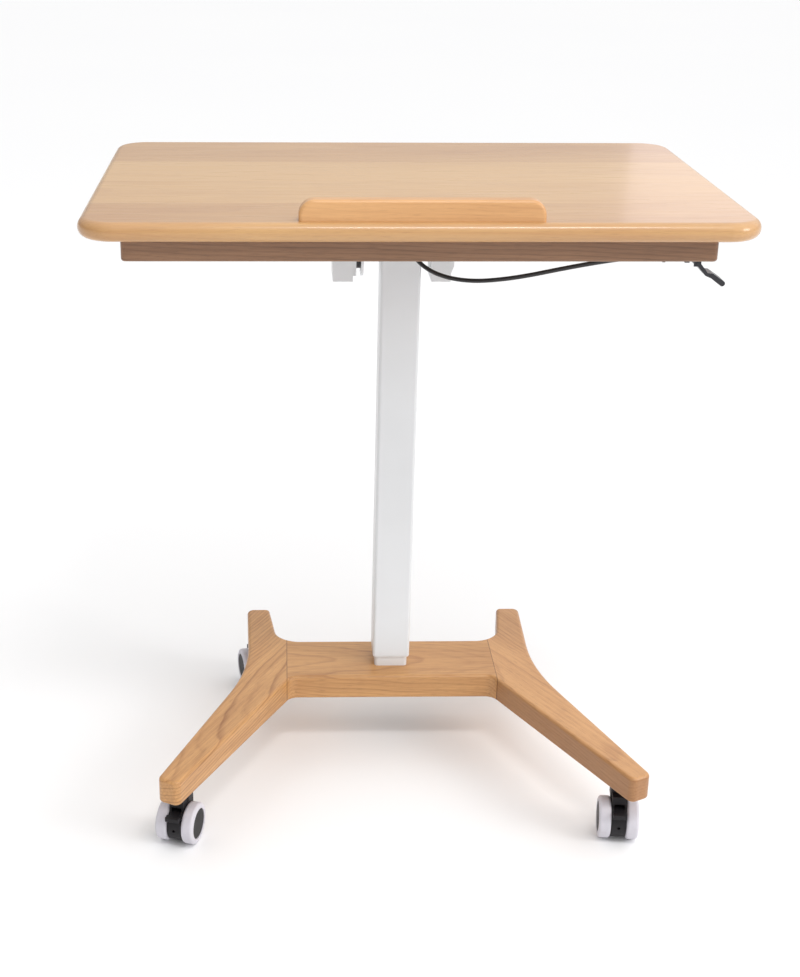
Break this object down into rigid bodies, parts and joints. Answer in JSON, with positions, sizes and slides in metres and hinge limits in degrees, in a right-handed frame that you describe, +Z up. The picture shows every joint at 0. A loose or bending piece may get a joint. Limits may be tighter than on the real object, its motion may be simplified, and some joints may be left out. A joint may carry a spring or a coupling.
{
  "type": "rolling height-adjustable laptop desk",
  "caption": "Small wooden desk with a tilting top and book stop on one telescopic steel column, over a wooden H-shaped base on braked twin-wheel casters.",
  "frame": {"origin": "on the floor, under the middle of the tabletop, with the column fully down and the top level", "axes": "+Z up, +X to the right of a person using the desk, +Y away from that person; the book stop and the hand lever are at the -Y edge"},
  "size_m": [0.7, 0.48, 0.779],
  "materials": {
    "top_wood": "satin clear lacquer on finger-jointed hardwood staves",
    "stop_wood": "satin clear lacquer",
    "lower_wood": "satin clear lacquer",
    "base_wood": "satin clear lacquer on open-grained hardwood",
    "dowel_wood": "fluted, raw",
    "white_paint": "fine white powder coat",
    "inner_steel": "drawn steel, lightly oiled",
    "zinc": "bright zinc plate",
    "black_steel": "black paint",
    "bright_rod": "hard chrome",
    "black_nylon": "moulded, fine texture",
    "cable_black": "smooth sheath",
    "stem_steel": "zinc-plated steel",
    "caster_nylon": "moulded nylon, half matt",
    "tyre_grey": "smooth non-marking tread"
  },
  "bodies": {
    "base": {"beam": "base_wood", "leg_left": "base_wood", "leg_right": "base_wood", "joint_dowels": "dowel_wood", "base_plate": "black_steel", "base_plate_screws": "zinc", "inner_tube": "inner_steel", "upper_guide": "black_nylon", "gas_spring_cylinder": "black_steel", "caster_stems": "stem_steel"},
    "column": {"outer_tube": "white_paint", "column_collar": "black_nylon", "head_yoke": "white_paint", "release_head": "zinc", "gas_spring_rod": "bright_rod"},
    "crank": {"release_crank": "zinc"},
    "pin": {"release_pin": "bright_rod"},
    "top": {"tabletop": "top_wood", "lower_board": "lower_wood", "book_stop": "stop_wood", "book_stop_dowels": "dowel_wood", "top_screws": "zinc", "mounting_plate": "white_paint", "tilt_bracket_left": "white_paint", "tilt_bracket_right": "white_paint", "pivot_bolts": "zinc", "friction_washers": "black_nylon", "lever_bracket": "black_nylon", "lever_pin": "zinc", "release_cable": "cable_black"},
    "lever": {"release_lever": "black_nylon"},
    "front_left_caster": {"caster_front_left_housing": "caster_nylon", "caster_front_left_axle": "stem_steel"},
    "front_left_wheel_left": {"caster_front_left_tyre_left": "tyre_grey", "caster_front_left_hub_left": "caster_nylon"},
    "front_left_wheel_right": {"caster_front_left_tyre_right": "tyre_grey", "caster_front_left_hub_right": "caster_nylon"},
    "front_left_brake": {"caster_front_left_brake": "caster_nylon"},
    "front_right_caster": {"caster_front_right_housing": "caster_nylon", "caster_front_right_axle": "stem_steel"},
    "front_right_wheel_left": {"caster_front_right_tyre_left": "tyre_grey", "caster_front_right_hub_left": "caster_nylon"},
    "front_right_wheel_right": {"caster_front_right_tyre_right": "tyre_grey", "caster_front_right_hub_right": "caster_nylon"},
    "front_right_brake": {"caster_front_right_brake": "caster_nylon"},
    "rear_left_caster": {"caster_rear_left_housing": "caster_nylon", "caster_rear_left_axle": "stem_steel"},
    "rear_left_wheel_left": {"caster_rear_left_tyre_left": "tyre_grey", "caster_rear_left_hub_left": "caster_nylon"},
    "rear_left_wheel_right": {"caster_rear_left_tyre_right": "tyre_grey", "caster_rear_left_hub_right": "caster_nylon"},
    "rear_left_brake": {"caster_rear_left_brake": "caster_nylon"},
    "rear_right_caster": {"caster_rear_right_housing": "caster_nylon", "caster_rear_right_axle": "stem_steel"},
    "rear_right_wheel_left": {"caster_rear_right_tyre_left": "tyre_grey", "caster_rear_right_hub_left": "caster_nylon"},
    "rear_right_wheel_right": {"caster_rear_right_tyre_right": "tyre_grey", "caster_rear_right_hub_right": "caster_nylon"},
    "rear_right_brake": {"caster_rear_right_brake": "caster_nylon"}
  },
  "joints": [
    {"name": "lift", "type": "slide", "parent": "base", "child": "column", "axis": [0, 0, 1], "range_m": [0, 0.34]},
    {"name": "tilt", "type": "hinge", "parent": "column", "child": "top", "pos_m": [0, 0.06, 0.652], "axis": [1, 0, 0], "range_deg": [0, 40], "deforming": ["release_cable"]},
    {"name": "release_lever", "type": "hinge", "parent": "top", "child": "lever", "pos_m": [0.289, -0.178, 0.708], "axis": [0, -1, 0], "range_deg": [0, 18], "stiffness_Nm_per_rad": 0.6, "springref_deg": -4.58},
    {"name": "release_crank", "type": "hinge", "parent": "column", "child": "crank", "pos_m": [0, 0.071, 0.664], "axis": [1, 0, 0], "range_deg": [0, 13]},
    {"name": "release_pin", "type": "slide", "parent": "column", "child": "pin", "axis": [0, 0, -1], "range_m": [0, 0.0029]},
    {"name": "front_left_swivel", "type": "hinge", "parent": "base", "child": "front_left_caster", "pos_m": [-0.262, -0.185, 0.06], "axis": [0, 0, 1], "continuous": true},
    {"name": "front_left_roll_left", "type": "hinge", "parent": "front_left_caster", "child": "front_left_wheel_left", "pos_m": [-0.2654, -0.19546, 0.025], "axis": [0.9511, -0.309, 0], "continuous": true},
    {"name": "front_left_roll_right", "type": "hinge", "parent": "front_left_caster", "child": "front_left_wheel_right", "pos_m": [-0.2654, -0.19546, 0.025], "axis": [0.9511, -0.309, 0], "continuous": true},
    {"name": "front_left_brake", "type": "hinge", "parent": "front_left_caster", "child": "front_left_brake", "pos_m": [-0.26756, -0.20212, 0.041], "axis": [0.9511, -0.309, 0], "range_deg": [0, 10]},
    {"name": "front_right_swivel", "type": "hinge", "parent": "base", "child": "front_right_caster", "pos_m": [0.262, -0.185, 0.06], "axis": [0, 0, 1], "continuous": true},
    {"name": "front_right_roll_left", "type": "hinge", "parent": "front_right_caster", "child": "front_right_wheel_left", "pos_m": [0.26066, -0.19592, 0.025], "axis": [0.9925, -0.1219, 0], "continuous": true},
    {"name": "front_right_roll_right", "type": "hinge", "parent": "front_right_caster", "child": "front_right_wheel_right", "pos_m": [0.26066, -0.19592, 0.025], "axis": [0.9925, -0.1219, 0], "continuous": true},
    {"name": "front_right_brake", "type": "hinge", "parent": "front_right_caster", "child": "front_right_brake", "pos_m": [0.25981, -0.20287, 0.041], "axis": [0.9925, -0.1219, 0], "range_deg": [0, 10]},
    {"name": "rear_left_swivel", "type": "hinge", "parent": "base", "child": "rear_left_caster", "pos_m": [-0.176, 0.18, 0.06], "axis": [0, 0, 1], "continuous": true},
    {"name": "rear_left_roll_left", "type": "hinge", "parent": "rear_left_caster", "child": "rear_left_wheel_left", "pos_m": [-0.17885, 0.19062, 0.025], "axis": [-0.9659, -0.2588, 0], "continuous": true},
    {"name": "rear_left_roll_right", "type": "hinge", "parent": "rear_left_caster", "child": "rear_left_wheel_right", "pos_m": [-0.17885, 0.19062, 0.025], "axis": [-0.9659, -0.2588, 0], "continuous": true},
    {"name": "rear_left_brake", "type": "hinge", "parent": "rear_left_caster", "child": "rear_left_brake", "pos_m": [-0.18066, 0.19739, 0.041], "axis": [-0.9659, -0.2588, 0], "range_deg": [0, 10]},
    {"name": "rear_right_swivel", "type": "hinge", "parent": "base", "child": "rear_right_caster", "pos_m": [0.176, 0.18, 0.06], "axis": [0, 0, 1], "continuous": true},
    {"name": "rear_right_roll_left", "type": "hinge", "parent": "rear_right_caster", "child": "rear_right_wheel_left", "pos_m": [0.17353, 0.19072, 0.025], "axis": [-0.9744, -0.225, 0], "continuous": true},
    {"name": "rear_right_roll_right", "type": "hinge", "parent": "rear_right_caster", "child": "rear_right_wheel_right", "pos_m": [0.17353, 0.19072, 0.025], "axis": [-0.9744, -0.225, 0], "continuous": true},
    {"name": "rear_right_brake", "type": "hinge", "parent": "rear_right_caster", "child": "rear_right_brake", "pos_m": [0.17195, 0.19754, 0.041], "axis": [-0.9744, -0.225, 0], "range_deg": [0, 10]}
  ],
  "couplings": [
    {"joint": "release_crank", "follows": "release_lever", "ratio": 0.7222},
    {"joint": "release_pin", "follows": "release_lever", "m_per_rad": 0.0089}
  ]
}
